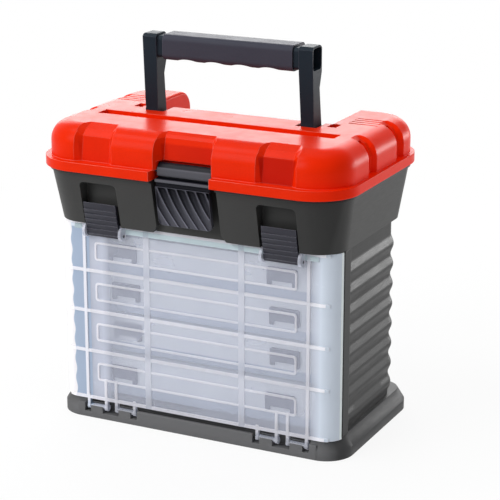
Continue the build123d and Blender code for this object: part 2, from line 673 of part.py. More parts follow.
    # Knuckles of the rear hinge, in notches of the rim
    notch_w = LID_KNUCKLE_W + 2 * (2 * TUB_LUG_GAP + TUB_LUG_W)
    for side in SIDES:
        with BuildSketch(Plane.XY.offset(RIM_Z - PAST)):
            with Locations((side * LID_HINGE_X, LID_PIN_Y - LID_KNUCKLE_R - HINGE_NOTCH_GAP)):
                Rectangle(notch_w, RIM_SIZE[1], align=(Align.CENTER, Align.MIN))
        extrude(amount=WELL_Z - RIM_Z + 2 * PAST, mode=Mode.SUBTRACT)
        with BuildSketch(Plane.YZ.offset(side * LID_HINGE_X)):
            with Locations((LID_PIN_Y, LID_PIN_Z)):
                Circle(LID_KNUCKLE_R)
            with Locations((LID_PIN_Y, LID_PIN_Z)):
                Rectangle(2 * LID_KNUCKLE_R, 2 * LID_KNUCKLE_R, align=(Align.MAX, Align.CENTER))
            with Locations((LID_PIN_Y, LID_PIN_Z)):
                Circle(LID_PIN_R + RUN_FIT, mode=Mode.SUBTRACT)
        extrude(amount=LID_KNUCKLE_W / 2, both=True)
lid.part.label = "lid"
export_step(lid.part, "parts/lid.step")

with BuildPart() as handle_pins:
    for side in SIDES:
        with BuildSketch(Plane.YZ.offset(side * sum(HANDLE_PIN_X) / 2)):
            with Locations((PIVOT_Y, PIVOT_Z)):
                Circle(HANDLE_PIN_R)
        extrude(amount=(HANDLE_PIN_X[1] - HANDLE_PIN_X[0]) / 2, both=True)
handle_pins.part.label = "handle_pins"
export_step(handle_pins.part, "parts/handle_pins.step")

# Handle posts with their collars
POST_MID = sum(POST_X) / 2
POST_W = POST_X[1] - POST_X[0]
POCKET_HEAD = HANDLE_TOP - PALM_POCKET_RIM
with BuildPart() as post_right:
    with BuildSketch(Plane.YZ.offset(POST_MID)):
        Polygon(
            (POST_SHAFT_FRONT, PIVOT_Z),
            (POST_SHAFT_FRONT, POST_SHAFT_Z),
            (POST_HEAD_FRONT, HANDLE_TOP - POST_CHAMFER),
            (POST_HEAD_FRONT + POST_CHAMFER, HANDLE_TOP),
            (POST_HEAD_REAR - POST_CHAMFER, HANDLE_TOP),
            (POST_HEAD_REAR, HANDLE_TOP - POST_CHAMFER),
            (POST_HEAD_REAR, POST_HEAD_Z),
            POST_WAIST,
            POST_FOOT_REAR,
            (PIVOT_Y + FOOT_R, PIVOT_Z),
            align=None,
        )
        with Locations((PIVOT_Y, PIVOT_Z)):
            Circle(FOOT_R)
            Circle(HANDLE_PIN_R + RUN_FIT, mode=Mode.SUBTRACT)
    extrude(amount=POST_W / 2, both=True)
    top_edges = post_right.edges().filter_by_position(Axis.Z, HANDLE_TOP - 0.1, HANDLE_TOP + 0.1)
    chamfer(top_edges.filter_by(Axis.Y), EDGE_BREAK)
    # Deep pocket in the outer side of the head
    pocket_w = POST_HEAD_REAR - POST_HEAD_FRONT - 2 * PALM_POCKET_RIM
    with BuildSketch(Plane.YZ.offset(POST_X[1])):
        with Locations(((POST_HEAD_FRONT + POST_HEAD_REAR) / 2, (PALM_POCKET_FOOT + POCKET_HEAD) / 2)):
            RectangleRounded(pocket_w, POCKET_HEAD - PALM_POCKET_FOOT, PALM_POCKET_R)
    extrude(amount=-PALM_POCKET_DEPTH, mode=Mode.SUBTRACT)
    # The inner side of the shaft leans outward towards its foot
    with BuildSketch(Plane.XZ.offset(-PIVOT_Y)):
        Polygon(
            (POST_X[0] - PAST, GRIP_Z),
            (POST_X[0], GRIP_Z),
            (POST_X[0] + POST_DRAFT, PIVOT_Z - FOOT_R - PAST),
            (POST_X[0] - PAST, PIVOT_Z - FOOT_R - PAST),
            align=None,
        )
    extrude(amount=2 * POST_W, both=True, mode=Mode.SUBTRACT)
    # Collar between the post and the grip
    collar_front = GRIP_Y[0] + COLLAR_INSET
    collar_rear = POST_HEAD_REAR - COLLAR_INSET
    with BuildSketch(Plane.YZ.offset(GRIP_HALF)):
        with Locations(((collar_front + collar_rear) / 2, (GRIP_Z + HANDLE_TOP) / 2)):
            RectangleRounded(
                collar_rear - collar_front, HANDLE_TOP - GRIP_Z - 2 * COLLAR_INSET, GRIP_ROUND - COLLAR_INSET
            )
    extrude(amount=POST_X[0] - GRIP_HALF + PAST)
post_right.part.label = "handle_post_right"
export_step(post_right.part, "parts/handle_post_right.step")

with BuildPart() as post_left:
    add(mirror(post_right.part, about=Plane.YZ, mode=Mode.PRIVATE))
post_left.part.label = "handle_post_left"
export_step(post_left.part, "parts/handle_post_left.step")

# Grip with finger hollows along its underside
with BuildPart() as grip:
    with BuildSketch(Plane.YZ):
        with Locations((sum(GRIP_Y) / 2, (GRIP_Z + HANDLE_TOP) / 2)):
            RectangleRounded(GRIP_Y[1] - GRIP_Y[0], HANDLE_TOP - GRIP_Z, GRIP_ROUND)
    extrude(amount=GRIP_HALF, both=True)
    with BuildSketch(Plane.XZ.offset(-GRIP_Y[1] - PAST)):
        with Locations(*[(x, GRIP_Z + FINGER_DEPTH - FINGER_R) for x in FINGER_X]):
            Circle(FINGER_R)
    extrude(amount=GRIP_Y[1] - GRIP_Y[0] + 2 * PAST, mode=Mode.SUBTRACT)
grip.part.label = "handle_grip"
export_step(grip.part, "parts/handle_grip.step")

# Front latch with slanting ribs
plate_top, plate_foot = LATCH_PLATE
plate_run = Vector(0, *plate_foot) - Vector(0, *plate_top)
plate_plane = Plane(
    origin=(0, (plate_top[0] + plate_foot[0]) / 2, (plate_top[1] + plate_foot[1]) / 2),
    x_dir=(1, 0, 0),
    z_dir=plate_run.normalized().cross(Vector(1, 0, 0)),
)
with BuildPart() as latch:
    with BuildSketch(Plane.YZ):
        with Locations((LATCH_PIN_Y, LATCH_PIN_Z)):
            Circle(LATCH_BARREL_R)
        Polygon(
            (LATCH_PIN_Y - 0.4, LATCH_HEAD_Z),
            (LATCH_PIN_Y - LATCH_BARREL_R, LATCH_PIN_Z + 1),
            (LATCH_PIN_Y - LATCH_BARREL_R, LATCH_NECK_Z),
            *LATCH_LEDGE,
            plate_top,
            plate_foot,
            (plate_foot[0] + LATCH_T, plate_foot[1] + 0.5),
            (plate_foot[0] + LATCH_T + LATCH_HOOK[0], plate_foot[1] + LATCH_HOOK[1] / 2),
            (plate_foot[0] + LATCH_T - 0.4, plate_foot[1] + LATCH_HOOK[1]),
            *LATCH_INNER,
            (LATCH_PIN_Y + LATCH_BARREL_R, LATCH_PIN_Z),
            (LATCH_PIN_Y + LATCH_HEAD_BACK, LATCH_HEAD_Z),
            align=None,
        )
        with Locations((LATCH_PIN_Y, LATCH_PIN_Z)):
            Circle(LATCH_PIN_R + RUN_FIT, mode=Mode.SUBTRACT)
    extrude(amount=LATCH_HALF, both=True)
    # Curved ribs that sweep to the right on their way down
    rib_half = plate_run.length / 2
    with BuildSketch(plate_plane):
        for i in range(LATCH_RIB_N):
            rib_x = -LATCH_HALF - LATCH_RIB_SWEEP[1] / 2 + LATCH_RIB_STEP * (i + 0.5)
            with BuildLine():
                near = ThreePointArc(
                    (rib_x, rib_half),
                    (rib_x + LATCH_RIB_SWEEP[0], 0),
                    (rib_x + LATCH_RIB_SWEEP[1], -rib_half),
                )
                far = near.moved(Location((LATCH_RIB_W, 0)))
                add(far)
                Line(near @ 0, far @ 0)
                Line(near @ 1, far @ 1)
            make_face()
        Rectangle(2 * (LATCH_HALF - LATCH_RIB_BORDER), 2 * (rib_half - LATCH_RIB_BORDER), mode=Mode.INTERSECT)
    extrude(amount=LATCH_RIB_H)
    # Cut lower corners
    with BuildSketch(plate_plane):
        for side in SIDES:
            Polygon(
                (side * (LATCH_HALF - LATCH_CORNER), -rib_half - PAST),
                (side * (LATCH_HALF + PAST), -rib_half - PAST),
                (side * (LATCH_HALF + PAST), LATCH_CORNER - rib_half + PAST),
                align=None,
            )
    extrude(amount=2 * LATCH_T, both=True, mode=Mode.SUBTRACT)
latch.part.label = "latch"
export_step(latch.part, "parts/latch.step")

with BuildPart() as latch_pin:
    with BuildSketch(Plane.YZ):
        with Locations((LATCH_PIN_Y, LATCH_PIN_Z)):
            Circle(LATCH_PIN_R)
    extrude(amount=LATCH_GAP + LATCH_PIN_GRIP, both=True)
latch_pin.part.label = "latch_pin"
export_step(latch_pin.part, "parts/latch_pin.step")


def clip_face(z):
    """Y of the clip's smooth front face at height z."""
    return CLIP_TOP[0] - CLIP_LEAN * (z - CLIP_TOP[1])


# Door clips, hinged between the ears of the door
for side, name in ((-1, "clip_left"), (1, "clip_right")):
    with BuildPart() as clip:
        with BuildSketch(Plane.YZ.offset(side * CLIP_X)):
            Polygon(
                (clip_face(CLIP_FOOT_Z), CLIP_FOOT_Z),
                CLIP_TOP,
                (CLIP_TOP[0] + CLIP_T, CLIP_TOP[1] - 0.6),
                (CLIP_TOP[0] + CLIP_T + CLIP_HOOK[0], CLIP_TOP[1] - CLIP_HOOK[1]),
                (CLIP_TOP[0] + CLIP_T + CLIP_HOOK[1], CLIP_HOOK_Z[1]),
                (clip_face(CLIP_HOOK_Z[0]) + CLIP_T, CLIP_HOOK_Z[0]),
                (clip_face(CLIP_PIN_Z + 2) + CLIP_T, CLIP_PIN_Z + 2),
                (CLIP_PIN_Y, CLIP_PIN_Z),
                align=None,
            )
            with Locations((CLIP_PIN_Y, CLIP_PIN_Z)):
                Circle(CLIP_BARREL_R)
            # Ridges like shingles: each stands out at its top and runs out at the next one
            for i in range(CLIP_RIDGE_N):
                ridge = CLIP_RIDGE_TOP - CLIP_RIDGE_STEP * i
                run_out = max(ridge - CLIP_RIDGE_STEP, CLIP_FOOT_Z)
                Polygon(
                    (clip_face(ridge) - CLIP_RIDGE_OUT, ridge),
                    (clip_face(ridge) + PAST, ridge),
                    (clip_face(run_out) + PAST, run_out),
                    (clip_face(run_out), run_out),
                    align=None,
                )
            with Locations((CLIP_PIN_Y, CLIP_PIN_Z)):
                Circle(CLIP_PIN_R + RUN_FIT, mode=Mode.SUBTRACT)
        extrude(amount=CLIP_W / 2, both=True)
    clip.part.label = name
    export_step(clip.part, f"parts/{name}.step")

EAR_X = CLIP_W / 2 + EAR_GAP + EAR_T / 2
with BuildPart() as clip_pins:
    for side in SIDES:
        with BuildSketch(Plane.YZ.offset(side * CLIP_X)):
            with Locations((CLIP_PIN_Y, CLIP_PIN_Z)):
                Circle(CLIP_PIN_R)
        extrude(amount=CLIP_W / 2 + EAR_GAP + EAR_T, both=True)
clip_pins.part.label = "clip_pins"
export_step(clip_pins.part, "parts/clip_pins.step")


def door_shell(outset, rear):
    """A door outline with rounded front corners, cut off at rear, for a sketch."""
    depth = 80
    with Locations((0, DOOR_FRONT - outset)):
        with Locations((0, depth / 2)):
            RectangleRounded(2 * (DOOR_HALF + outset), depth, DOOR_R + outset)
    with Locations((0, rear)):
        Rectangle(3 * DOOR_HALF, 2 * depth, align=(Align.CENTER, Align.MIN), mode=Mode.SUBTRACT)


# Clear door
with BuildPart() as door:
    with BuildSketch(Plane.XY.offset(DOOR_Z[0])):
        door_shell(0, DOOR_END)
    extrude(amount=DOOR_Z[1] - DOOR_Z[0])
    with BuildSketch(Plane.XY.offset(DOOR_Z[0] - PAST)):
        door_shell(-DOOR_T, 0)
    extrude(amount=DOOR_Z[1] - DOOR_Z[0] + 2 * PAST, mode=Mode.SUBTRACT)
    with BuildSketch(Plane.XY.offset(DOOR_Z[1] - DOOR_FLANGE_T)):
        door_shell(0, DOOR_FLANGE_REAR)
    extrude(amount=DOOR_FLANGE_T)
    # The left side reaches back to the corrugated panel
    with BuildSketch(Plane.XY.offset(DOOR_Z[0])):
        with Locations((-DOOR_HALF, DOOR_END - PAST)):
            Rectangle(DOOR_T, LEFT_FRONT - DOOR_LEFT_GAP - DOOR_END + PAST, align=(Align.MIN, Align.MIN))
    extrude(amount=DOOR_LEFT_TOP - DOOR_Z[0])
    # Bands that run round the corners
    bands = [DOOR_Z[0] + BAND_T / 2, DOOR_Z[1] - BAND_T / 2]
    bands += [BAND_Z0 + CASE_PITCH * k for k in range(1, CASE_N)]
    for z in bands:
        with BuildSketch(Plane.XY.offset(z - BAND_T / 2)):
            door_shell(RIB_OUT, DOOR_END - BAND_SHORT)
            with Locations((0, DOOR_FRONT + DOOR_T / 2)):
                Rectangle(3 * DOOR_HALF, 40, align=(Align.CENTER, Align.MIN), mode=Mode.SUBTRACT)
        extrude(amount=BAND_T)
    # Upright ribs
    for side in SIDES:
        for x, width in ((SIDE_RIB_X, SIDE_RIB_W), (MID_RIB_X, MID_RIB_W)):
            with BuildSketch(Plane.XZ.offset(-DOOR_FRONT)):
                with Locations((side * x, sum(DOOR_Z) / 2)):
                    Rectangle(width, DOOR_Z[1] - DOOR_Z[0])
            extrude(amount=RIB_OUT)
    # Rounded frames over the case catches
    for k in range(CASE_N):
        with BuildSketch(Plane.XZ.offset(-DOOR_FRONT)):
            with Locations((0, BAND_Z0 + CASE_PITCH * k + FRAME_MID)):
                RectangleRounded(2 * FRAME_HALF, FRAME_H, FRAME_R)
                RectangleRounded(
                    2 * (FRAME_HALF - FRAME_W),
                    FRAME_H - 2 * FRAME_W,
                    FRAME_R - FRAME_W / 2,
                    mode=Mode.SUBTRACT,
                )
        extrude(amount=RIB_OUT)
    # Hinge lugs and the bars between them
    for side in SIDES:
        for i, x in enumerate(LUG_X):
            rib_top = HINGE_RIB_TOP if i in (1, 2) else HINGE_ROOT_TOP
            with BuildSketch(Plane.YZ.offset(side * x)):
                with Locations((HINGE_Y, HINGE_Z)):
                    Circle(LUG_R)
                with Locations((DOOR_FRONT - RIB_OUT, HINGE_Z)):
                    Rectangle(RIB_OUT + DOOR_T, rib_top - HINGE_Z, align=(Align.MIN, Align.MIN))
            extrude(amount=LUG_T / 2, both=True)
        for near, far in ((LUG_X[0], LUG_X[1]), (LUG_X[2], LUG_X[3])):
            with BuildSketch(Plane.YZ.offset(side * (near + far) / 2)):
                with Locations((HINGE_Y, HINGE_Z)):
                    Circle(BAR_R)
            extrude(amount=(far - near) / 2, both=True)
    # Ears that carry the clip pins
    ear_root = DOOR_FRONT + DOOR_T / 2
    for side in SIDES:
        for edge in SIDES:
            with BuildSketch(Plane.YZ.offset(side * (CLIP_X + edge * EAR_X))):
                with Locations((CLIP_PIN_Y, EAR_Z)):
                    Circle(EAR_R)
                    Rectangle(ear_root - CLIP_PIN_Y, 2 * EAR_R, align=(Align.MIN, Align.CENTER))
                with Locations((ear_root, EAR_Z)):
                    Rectangle(4 * EAR_R, 4 * EAR_R, align=(Align.MIN, Align.CENTER), mode=Mode.SUBTRACT)
                with Locations((CLIP_PIN_Y, CLIP_PIN_Z)):
                    Circle(CLIP_PIN_R, mode=Mode.SUBTRACT)
            extrude(amount=EAR_T / 2, both=True)
door.part.label = "door"
export_step(door.part, "parts/door.step")

# Four sliding cases, each a box, a lid, two catches and loose dividers
for k in range(CASE_N):
    case_front = CASE_FRONT + CASE_INSET[k]
    case_mid = case_front + CASE_D / 2
    case_rear = case_front + CASE_D
    pin_y = case_rear + CASE_KNUCKLE_R
    row_walls = (case_front + CASE_WALL + ROW_DEPTH, case_rear - CASE_WALL - ROW_DEPTH)
    case_z = CASE_Z0 + CASE_PITCH * k
    seam_z = case_z + CASE_BOX_H
    with BuildPart() as case_box:
        with BuildSketch(Plane.XY.offset(case_z)):
            with Locations((0, case_mid)):
                RectangleRounded(2 * CASE_HALF, CASE_D, CASE_R)
        extrude(amount=CASE_BOX_H)
        with BuildSketch(Plane.XY.offset(case_z + CASE_FLOOR)):
            with Locations((0, case_mid)):
                RectangleRounded(2 * (CASE_HALF - CASE_WALL), CASE_D - 2 * CASE_WALL, CASE_R - CASE_WALL)
                with Locations(*[(0, y - case_mid) for y in row_walls]):
                    Rectangle(2 * CASE_HALF, DIVIDER_T, mode=Mode.SUBTRACT)
        extrude(amount=CASE_BOX_H, mode=Mode.SUBTRACT)
        for x in CASE_KNUCKLE_X:
            with BuildSketch(Plane.YZ.offset(x - CASE_KNUCKLE_W)):
                with Locations((pin_y, seam_z)):
                    Circle(CASE_KNUCKLE_R)
                with Locations((pin_y, seam_z - CASE_KNUCKLE_R)):
                    Rectangle(CASE_KNUCKLE_R + PAST, 2 * CASE_KNUCKLE_R, align=(Align.MAX, Align.CENTER))
                with Locations((pin_y, seam_z)):
                    Circle(CASE_PIN_R, mode=Mode.SUBTRACT)
            extrude(amount=CASE_KNUCKLE_W - CASE_KNUCKLE_GAP)
    name = f"case_box_{k + 1}"
    case_box.part.label = name
    export_step(case_box.part, f"parts/{name}.step")

    with BuildPart() as case_lid:
        with BuildSketch(Plane.XY.offset(seam_z + CASE_SEAM)):
            with Locations((0, case_mid)):
                RectangleRounded(2 * CASE_HALF, CASE_D, CASE_R)
        extrude(amount=CASE_LID_H)
        with BuildSketch(Plane.XY.offset(seam_z)):
            with Locations((0, case_mid)):
                RectangleRounded(2 * (CASE_HALF - CASE_WALL), CASE_D - 2 * CASE_WALL, CASE_R - CASE_WALL)
        extrude(amount=CASE_LID_H + CASE_SEAM - CASE_FLOOR, mode=Mode.SUBTRACT)
        for x in CASE_KNUCKLE_X:
            with BuildSketch(Plane.YZ.offset(x)):
                with Locations((pin_y, seam_z)):
                    Circle(CASE_KNUCKLE_R)
                with Locations((pin_y, seam_z + CASE_KNUCKLE_R)):
                    Rectangle(
                        CASE_KNUCKLE_R + PAST,
                        2 * CASE_KNUCKLE_R - CASE_KNUCKLE_GAP,
                        align=(Align.MAX, Align.CENTER),
                    )
                with Locations((pin_y, seam_z)):
                    Circle(CASE_PIN_R + RUN_FIT, mode=Mode.SUBTRACT)
            extrude(amount=CASE_KNUCKLE_W - CASE_KNUCKLE_GAP)
    name = f"case_lid_{k + 1}"
    case_lid.part.label = name
    export_step(case_lid.part, f"parts/{name}.step")

    with BuildPart() as case_catches:
        with BuildSketch(Plane.XZ.offset(-case_front)):
            with Locations((-TAB_X, case_z + sum(TAB_Z) / 2), (TAB_X, case_z + sum(TAB_Z) / 2)):
                RectangleRounded(TAB_W, TAB_Z[1] - TAB_Z[0], TAB_R)
            with Locations((-TAB_X, case_z + TAB_Z[0]), (TAB_X, case_z + TAB_Z[0])):
                Rectangle(TAB_NOTCH_W, 2 * TAB_NOTCH_H, mode=Mode.SUBTRACT)
        extrude(amount=TAB_T)
    name = f"case_catches_{k + 1}"
    case_catches.part.label = name
    export_step(case_catches.part, f"parts/{name}.step")

    with BuildPart() as dividers:
        rows = (case_front + CASE_WALL, *row_walls, case_rear - CASE_WALL)
        with BuildSketch(Plane.XY.offset(case_z + CASE_FLOOR)):
            gap = DIVIDER_T / 2 + DIVIDER_GAP
            for near, far in zip(rows, rows[1:]):
                with Locations(*[(x, (near + far) / 2) for x in DIVIDER_X]):
                    Rectangle(DIVIDER_T, far - near - 2 * gap)
        extrude(amount=DIVIDER_H)
    name = f"case_dividers_{k + 1}"
    dividers.part.label = name
    export_step(dividers.part, f"parts/{name}.step")

    with BuildPart() as case_pins:
        for x in CASE_KNUCKLE_X:
            with BuildSketch(Plane.YZ.offset(x - CASE_KNUCKLE_W)):
                with Locations((pin_y, seam_z)):
                    Circle(CASE_PIN_R)
            extrude(amount=2 * CASE_KNUCKLE_W - CASE_KNUCKLE_GAP)
    name = f"case_pins_{k + 1}"
    case_pins.part.label = name
    export_step(case_pins.part, f"parts/{name}.step")
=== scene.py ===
import json
import math

import bmesh
import bpy
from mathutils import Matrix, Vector


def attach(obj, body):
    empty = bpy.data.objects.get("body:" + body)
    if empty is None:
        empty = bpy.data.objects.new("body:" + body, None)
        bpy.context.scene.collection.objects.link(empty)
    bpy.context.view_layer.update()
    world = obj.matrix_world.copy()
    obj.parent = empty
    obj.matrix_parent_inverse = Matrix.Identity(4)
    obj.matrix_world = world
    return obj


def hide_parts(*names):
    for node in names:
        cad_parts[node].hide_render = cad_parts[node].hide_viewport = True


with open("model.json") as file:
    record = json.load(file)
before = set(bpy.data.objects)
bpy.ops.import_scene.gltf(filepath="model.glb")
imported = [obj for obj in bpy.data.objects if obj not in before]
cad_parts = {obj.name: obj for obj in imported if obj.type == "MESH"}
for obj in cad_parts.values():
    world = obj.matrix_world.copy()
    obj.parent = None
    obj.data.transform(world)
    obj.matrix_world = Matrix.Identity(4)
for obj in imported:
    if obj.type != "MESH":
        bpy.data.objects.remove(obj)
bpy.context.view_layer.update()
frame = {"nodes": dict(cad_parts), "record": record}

MM = 0.001
NODES = frame["nodes"]
BODIES = frame["record"]["behaviour"]["bodies"]
NODE_BODY = {node: body for body, members in BODIES.items() for node in members}
NODE_SLOT = {part["node"]: part["material_slot"] for part in frame["record"]["subparts"]}

# Camera, fitted to the photograph: metres and degrees, and millimetres for its lens and sensor
CAMERA_PLACE = (0.65786, -1.29462, 0.58294)
CAMERA_YAW = 26.304
CAMERA_PITCH = 16.808
CAMERA_LENS = 128.82
CAMERA_SENSOR = 36.0
CAMERA_CLIP = (0.05, 50)

# Light: name, place, target, size and power of each lamp, in metres and watts
LAMPS = (
    ("key", (-0.8, -1.6, 1.2), (0, 0, 0.14), (1.0, 1.0), 21),
    ("overhead", (0.0, 0.1, 1.5), (0, 0, 0.2), (1.2, 0.9), 4),
    ("shoulder", (-0.6, -0.42, 1.35), (0, -0.06, 0.25), (0.5, 0.14), 4.5),
    ("behind", (-0.72, 1.44, 0.78), (0, 0, 0.26), (1.6, 1.0), 18),
    ("rear_right", (0.95, 1.5, 0.2), (0.1, 0, 0.12), (0.9, 0.3), 10),
)
WORLD_FILL = 0.3
WORLD_TINT = (0.96, 0.98, 1.0, 1)
WHITE = (1, 1, 1, 1)

# Floor, metres: glow makes up the share FLOOR_GLOW at the first FLOOR_FADE distance and all at the second
FLOOR_SIZE = 8.0
FLOOR_Z = -0.0004
FLOOR_PAINT = (0.88, 0.88, 0.88, 1)
FLOOR_ROUGH = 0.8
FLOOR_GLOW = 0.9
FLOOR_FADE = (0.25, 0.8)

# Linear colours; the edge ones show along edges, partly as wear and partly as a painted highlight
LID_RED = (0.76, 0.022, 0.001)
# Painted shade for the lid's recesses, and painted light for its right flank
LID_RECESS_PAINTED_SHADE = (0.45, 0.006, 0.001)
LID_FLANK_PAINTED_LIGHT = (0.98, 0.022, 0.0)
LID_WEAR_AND_HIGHLIGHT = (1.0, 0.4, 0.32)
BODY_GREY = (0.046, 0.046, 0.045)
# Painted shade for the tub's front towards its right end
TUB_FRONT_PAINTED_SHADE = (0.016, 0.016, 0.016)
BODY_WEAR_AND_HIGHLIGHT = (0.12, 0.12, 0.11)
# Painted shadow under the lid's rim
RIM_PAINTED_SHADOW = (0.006, 0.006, 0.006)
SIDE_GREY = (0.02, 0.02, 0.02)
SIDE_WEAR_AND_HIGHLIGHT = (0.06, 0.06, 0.06)
BASE_GREY = (0.085, 0.085, 0.087)
# Painted light for the base's front lip, and painted shade for its right flank
BASE_LIP_PAINTED_LIGHT = (0.15, 0.15, 0.154)
BASE_FLANK_PAINTED_SHADE = (0.05, 0.05, 0.051)
BASE_WEAR_AND_HIGHLIGHT = (0.2, 0.2, 0.2)
HARDWARE = (0.026, 0.026, 0.037)
HARDWARE_WEAR_AND_HIGHLIGHT = (0.24, 0.24, 0.29)
LATCH = (0.07, 0.07, 0.086)
LATCH_WEAR_AND_HIGHLIGHT = (0.2, 0.2, 0.25)
# Painted shade for the valleys of the latch's gills
LATCH_VALLEY_SHADE = (0.002, 0.002, 0.004)
HANDLE = (0.014, 0.022, 0.031)
HANDLE_WEAR_AND_HIGHLIGHT = (0.15, 0.15, 0.19)
GRIP = (0.046, 0.047, 0.064)
GRIP_WEAR_AND_HIGHLIGHT = (0.18, 0.18, 0.22)
CATCH = (0.035, 0.035, 0.065)
CATCH_WEAR_AND_HIGHLIGHT = (0.3, 0.3, 0.4)
STEEL = (0.55, 0.55, 0.56)
STEEL_WEAR_AND_HIGHLIGHT = (0.7, 0.7, 0.7)
DOOR_TINT = (0.80, 0.84, 0.98)
DOOR_CORNER = (0.80, 0.88, 0.99)
DOOR_END = (0.93, 1.0, 1.0)
DOOR_EDGE = (1.0, 0.98, 1.0)
DOOR_STRIP = (0.40, 0.49, 0.64)
DOOR_RIB = (0.98, 0.95, 0.99)
BAND_TINT = (0.78, 0.93, 0.97)
CASE_TINT = (0.93, 0.95, 0.99)
CASE_FOOT = (0.55, 0.70, 0.92)
CASE_RIM = (0.97, 0.98, 1.0)

# Noises of the surfaces: scale and detail
CLOUD = (22, 4)
SPECK = (900, 2)
RUB = (6, 3)
GRAIN = (1500, 3)
SWELL = (60, 2)
FLOW = (9, 3)
HAZE = (45, 4)
RIPPLE = (14, 2)
FINE = (500, 2)
FLOOR_GRAIN = (300, 2)
NOISE_ROUGHNESS = 0.55
RUB_STRETCH = (14, 14, 160)
FLOW_STRETCH = (1, 1, 2.5)

# Values between which a noise mostly lies
NOISE_SPREAD = (0.3, 0.7)
SPECK_SPREAD = (0.35, 0.65)

# What the noises do: factors on a colour, and what is added to a roughness or an alpha
CLOUD_SHADES = (0.93, 1.07)
CLOUD_ROUGH = (-0.03, 0.03)
SPECK_SHADE = 1.2
SPECK_SHARE = 0.25
RUB_ROUGH = (-0.03, 0.04)
FLOW_ALPHA = 0.03
HAZE_SHADES = (0.97, 1.03)
HAZE_ROUGH = (-0.04, 0.06)

# Heights of the bumps in millimetres
SWELL_HEIGHT = 0.05
RIPPLE_HEIGHT = 0.3
FINE_HEIGHT = 0.02
FLOOR_GRAIN_HEIGHT = 0.02

# Edges: how alike the rounded and the true normal are on a face and on a full edge
EDGE_LIKENESS = (0.99, 0.8)
EDGE_SAMPLES = 6

# Clear plastic: radii of its pale rims and of its rounded edges in millimetres, then its look
CLEAR_RIM = 0.45
CLEAR_ROUND = 0.4
CLEAR_IOR = 1.49
GLANCE_BLEND = 0.5
GLANCE_POWER = 1.6
RIM_ALPHA = 0.36

# Zones of colour: places in millimetres, and a pair of places where a zone fades in or out between them.
# Shares are a zone's strength, and alphas are added to the clear plastic's own unless named otherwise.
# The lid's recesses get painted shade, and past LID_RIGHT its flank gets painted light
LID_SIDE_RECESS = ((64, 67), (97, 100))
LID_SIDE_DEPTH = (-83.6, -82.6)
LID_MIDDLE_RECESS = (23, 26)
LID_MIDDLE_DEPTH = (-78, -77)
LID_FRONT = -68
LID_RECESS_TOP = (249.5, 251.5)
LID_RECESS_SIDES = (-60, 60)
LID_RECESS_SHARES = (0.25, 0.8)
LID_RIGHT = (100, 134)
# Painted shadow on the tub under the lid's rim, then painted shade on its front towards the right
TUB_JOINT = (219.6, 221.2)
TUB_RIM_SHADOW_SHARE = 0.85
TUB_FRONT = (-70, -66)
TUB_RIGHT = (30, 110)
TUB_RIGHT_SHARE = 0.5
# Painted shade on the base's right flank, then painted light on its front lip
BASE_RIGHT = (120, 130)
BASE_RIGHT_SHARE = 0.7
BASE_LIP = (-70, -62)
BASE_LIP_SHARE = 0.9
DOOR_LEFT = (-87, -80)
DOOR_LEFT_ALPHA = 0.24
DOOR_BEND = (105, 114)
DOOR_CENTRE = (-1, 1)
DOOR_BEND_ALPHAS = (0.3, 0.5)
DOOR_RIGHT = 100
DOOR_REAR = (-58.6, -58.2)
DOOR_END_LEAST_ALPHA = 0.97
DOOR_FACE = -67.9
MID_RIB = 43.8
MID_RIB_HALF = (2.6, 2.9)
RIB_SHARES = (0.35, 0.72)
DOOR_LUGS = (13.5, 14.5)
DOOR_LUG_SHARE = 0.45
DOOR_EARS = (-69.2, -68.8)
DOOR_EAR_SHARE = 0.3

# The side panel's waves show through the door's left corner as a strip with a wavy border, millimetres
STRIP_INNER = (-99.0, -98.6)
STRIP_OUTER = -115.6
STRIP_SOFT = (-0.2, 0.2)
STRIP_TOP = (168, 169)
STRIP_LEAST_ALPHA = 0.9
STRIP_WAVE = 0.7
STRIP_CREST_Z = 15.2
STRIP_LEAN = 0.01
STRIP_LEAN_Z = 100
WAVE_PITCH = 17.7

# The stack of cases: the lowest foot and the step in millimetres, then heights as shares of one step
CASE_FOOT_Z = 21.0
CASE_PITCH = 35.8
CASE_FOOT_HEIGHTS = (0.2, 0.24)
CASE_FOOT_TINT = 0.6
CASE_FOOT_ALPHA_LOSS = 0.3
CASE_HEAD_HEIGHTS = (0.3, 0.9)
CASE_HEAD_ALPHA = 0.06
CASE_RIM_SHARE = 0.6

# Bands of painted light and shade across the latch: name, low and high end in millimetres, and linear colour
LATCH_LIGHT_AND_SHADE_BANDS = (
    # The top, the undercut and the plate head are painted shade; the barrel front and the ledge are painted
    # light
    ("top", 232.8, 240.0, (0.008, 0.009, 0.013)),
    ("barrel front", 225.9, 232.4, (0.09, 0.09, 0.104)),
    ("undercut", 223.9, 225.6, (0.002, 0.002, 0.004)),
    ("ledge", 221.7, 223.6, (0.1, 0.1, 0.115)),
    ("plate head", 217.8, 221.4, (0.006, 0.006, 0.01)),
)
LATCH_BAND_SOFT = 0.15

# The latch, millimetres: half its width, its foot corners' radius, and the height where they leave off
LATCH_HALF = 24.2
LATCH_CORNER = 4.0
LATCH_CORNER_Z = 205

